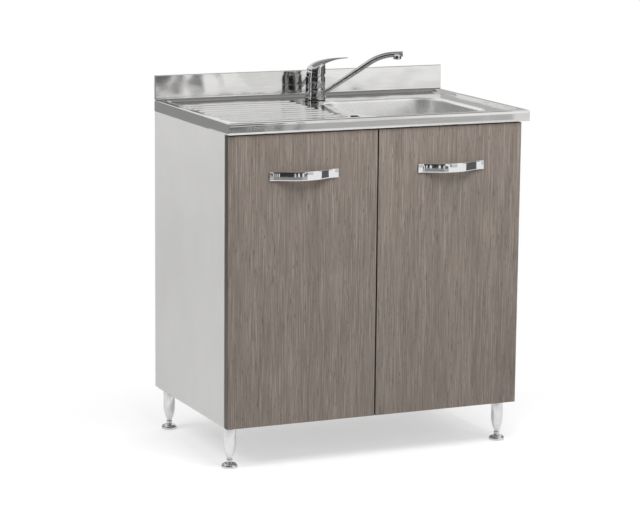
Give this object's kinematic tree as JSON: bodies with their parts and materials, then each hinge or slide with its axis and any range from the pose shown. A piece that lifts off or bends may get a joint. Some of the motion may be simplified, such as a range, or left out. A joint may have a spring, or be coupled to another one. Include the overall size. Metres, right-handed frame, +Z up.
{
  "type": "sink base cabinet",
  "caption": "Free-standing sink base cabinet on turned legs: stainless top with drainer, bowl and upstand, mixer tap, hinged wood-grain doors with bow handles.",
  "frame": {"origin": "on the floor, under the middle of the whole object's box, handles included", "axes": "+X to the right seen from the front, +Y to the back, towards the wall, +Z up"},
  "size_m": [0.8, 0.5224, 0.9675],
  "materials": {
    "sink_steel": "satin rolled stainless sheet",
    "white_board": "off-white melamine on chipboard",
    "back_board": "off-white foil on hardboard",
    "door_board": "greige wood-grain melamine with a darker edge band",
    "chipboard": "raw chipboard",
    "cam_zinc": "cast zinc",
    "zinc_steel": "bright zinc plate",
    "leg_silver": "satin",
    "foot_chrome": "polished",
    "handle_chrome": "polished",
    "tap_chrome": "polished",
    "waste_steel": "satin",
    "pipe_plastic": "moulded",
    "seal_rubber": "matt",
    "stud_brass": "turned"
  },
  "bodies": {
    "cabinet": {"sink_deck": "sink_steel", "sink_upstand": "sink_steel", "sink_bowl": "sink_steel", "left_side_panel": "white_board", "right_side_panel": "white_board", "bottom_panel": "white_board", "front_rail": "white_board", "rear_rail": "white_board", "back_panel": "back_board", "top_battens": "chipboard", "cam_locks": "cam_zinc", "cam_bolts": "cam_zinc", "top_brackets": "zinc_steel", "wood_screws": "zinc_steel", "hinge_arms": "zinc_steel", "hinge_plates": "zinc_steel", "tap_clamp_plate": "zinc_steel", "leg_front_left": "leg_silver", "leg_front_right": "leg_silver", "leg_back_left": "leg_silver", "leg_back_right": "leg_silver", "tap_body": "tap_chrome", "tap_base_ring": "tap_chrome", "waste_body": "waste_steel", "waste_nut": "pipe_plastic", "tailpiece": "pipe_plastic", "trap_body": "pipe_plastic", "trap_cup": "pipe_plastic", "outlet_pipe": "pipe_plastic", "slip_nuts": "pipe_plastic", "overflow_pipe": "pipe_plastic", "tap_cartridge": "pipe_plastic", "waste_gasket": "seal_rubber", "tap_seal": "seal_rubber", "tap_stud": "stud_brass", "tap_clamp_nut": "stud_brass"},
    "left_door": {"left_door": "door_board", "left_handle": "handle_chrome", "left_handle_screws": "zinc_steel", "left_hinge_cups": "zinc_steel", "left_hinge_pins": "zinc_steel", "left_cup_screws": "zinc_steel", "left_door_bumpers": "seal_rubber"},
    "right_door": {"right_door": "door_board", "right_handle": "handle_chrome", "right_handle_screws": "zinc_steel", "right_hinge_cups": "zinc_steel", "right_hinge_pins": "zinc_steel", "right_cup_screws": "zinc_steel", "right_door_bumpers": "seal_rubber"},
    "spout": {"spout": "tap_chrome", "aerator": "tap_chrome"},
    "lever_carrier": {"lever_carrier": "tap_chrome"},
    "lever": {"tap_lever": "tap_chrome"},
    "strainer_basket": {"strainer_basket": "waste_steel"},
    "foot_front_left": {"foot_front_left": "foot_chrome"},
    "foot_front_right": {"foot_front_right": "foot_chrome"},
    "foot_back_left": {"foot_back_left": "foot_chrome"},
    "foot_back_right": {"foot_back_right": "foot_chrome"}
  },
  "joints": [
    {"name": "left_door_swing", "type": "hinge", "parent": "cabinet", "child": "left_door", "pos_m": [-0.3904, -0.2247, 0.46], "axis": [0, 0, -1], "range_deg": [0, 100]},
    {"name": "right_door_swing", "type": "hinge", "parent": "cabinet", "child": "right_door", "pos_m": [0.3716, -0.2247, 0.46], "axis": [0, 0, 1], "range_deg": [0, 100]},
    {"name": "spout_swivel", "type": "hinge", "parent": "cabinet", "child": "spout", "pos_m": [0.005, 0.1762, 0.859], "axis": [0, 0, 1], "range_deg": [-150, 45]},
    {"name": "lever_turn", "type": "hinge", "parent": "cabinet", "child": "lever_carrier", "pos_m": [0.005, 0.1762, 0.905], "axis": [0, 0, 1], "range_deg": [-50, 50]},
    {"name": "lever_lift", "type": "hinge", "parent": "lever_carrier", "child": "lever", "pos_m": [0.005, 0.1762, 0.905], "axis": [-0.5, -0.866, 0], "range_deg": [0, 25]},
    {"name": "strainer_lift", "type": "slide", "parent": "cabinet", "child": "strainer_basket", "axis": [0, 0, 1], "range_m": [0, 0.06]},
    {"name": "foot_front_left_level", "type": "slide", "parent": "cabinet", "child": "foot_front_left", "axis": [0, 0, -1], "range_m": [0, 0.012]},
    {"name": "foot_front_right_level", "type": "slide", "parent": "cabinet", "child": "foot_front_right", "axis": [0, 0, -1], "range_m": [0, 0.012]},
    {"name": "foot_back_left_level", "type": "slide", "parent": "cabinet", "child": "foot_back_left", "axis": [0, 0, -1], "range_m": [0, 0.012]},
    {"name": "foot_back_right_level", "type": "slide", "parent": "cabinet", "child": "foot_back_right", "axis": [0, 0, -1], "range_m": [0, 0.012]}
  ]
}
